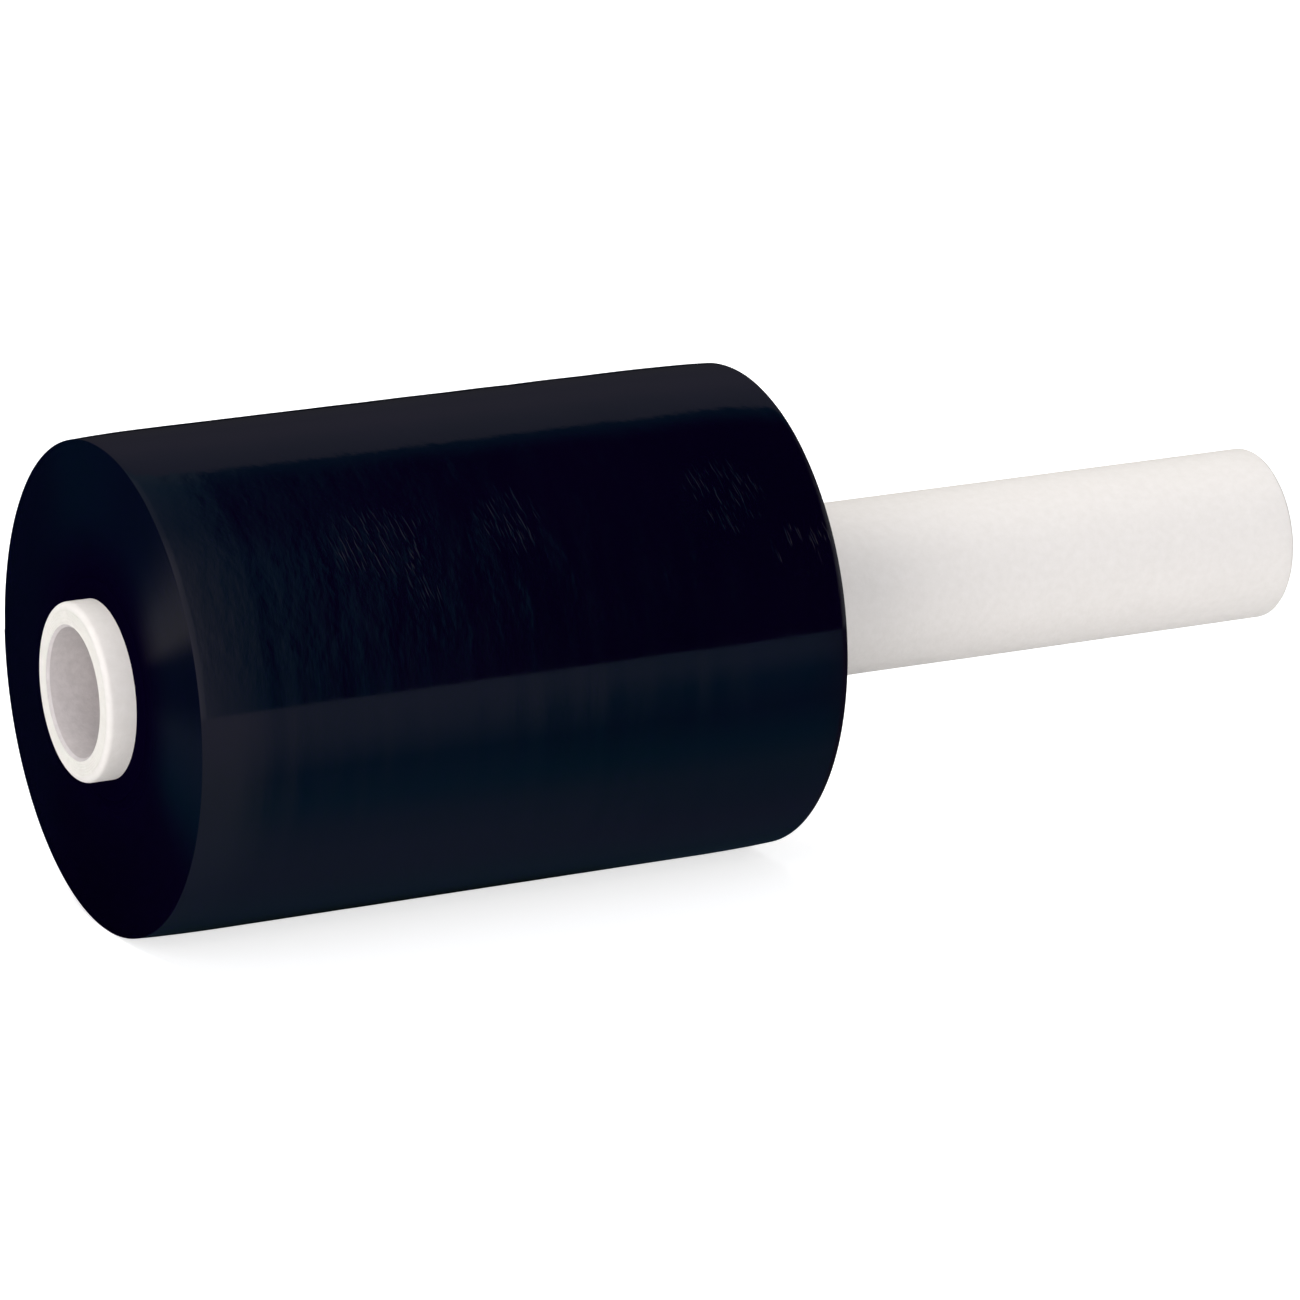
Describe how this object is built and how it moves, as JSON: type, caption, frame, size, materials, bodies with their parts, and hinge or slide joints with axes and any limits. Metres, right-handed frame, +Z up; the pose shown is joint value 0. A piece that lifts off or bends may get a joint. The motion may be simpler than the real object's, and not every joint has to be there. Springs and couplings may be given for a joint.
{
  "type": "stretch wrap roll",
  "caption": "Short roll of black stretch wrap wound on a white paper core that stands out far at one end as a handle, lying on its side.",
  "frame": {"origin": "on the surface that the roll lies on, under the middle of the core's length", "axes": "+X along the core towards the handle, +Z up, -Y the side that the picture shows with the stub end on the left"},
  "size_m": [0.2446, 0.0908, 0.0901],
  "materials": {
    "film": "gloss",
    "core": "matte"
  },
  "bodies": {
    "root": {"film_roll": "film", "core_tube": "core"}
  },
  "joints": []
}
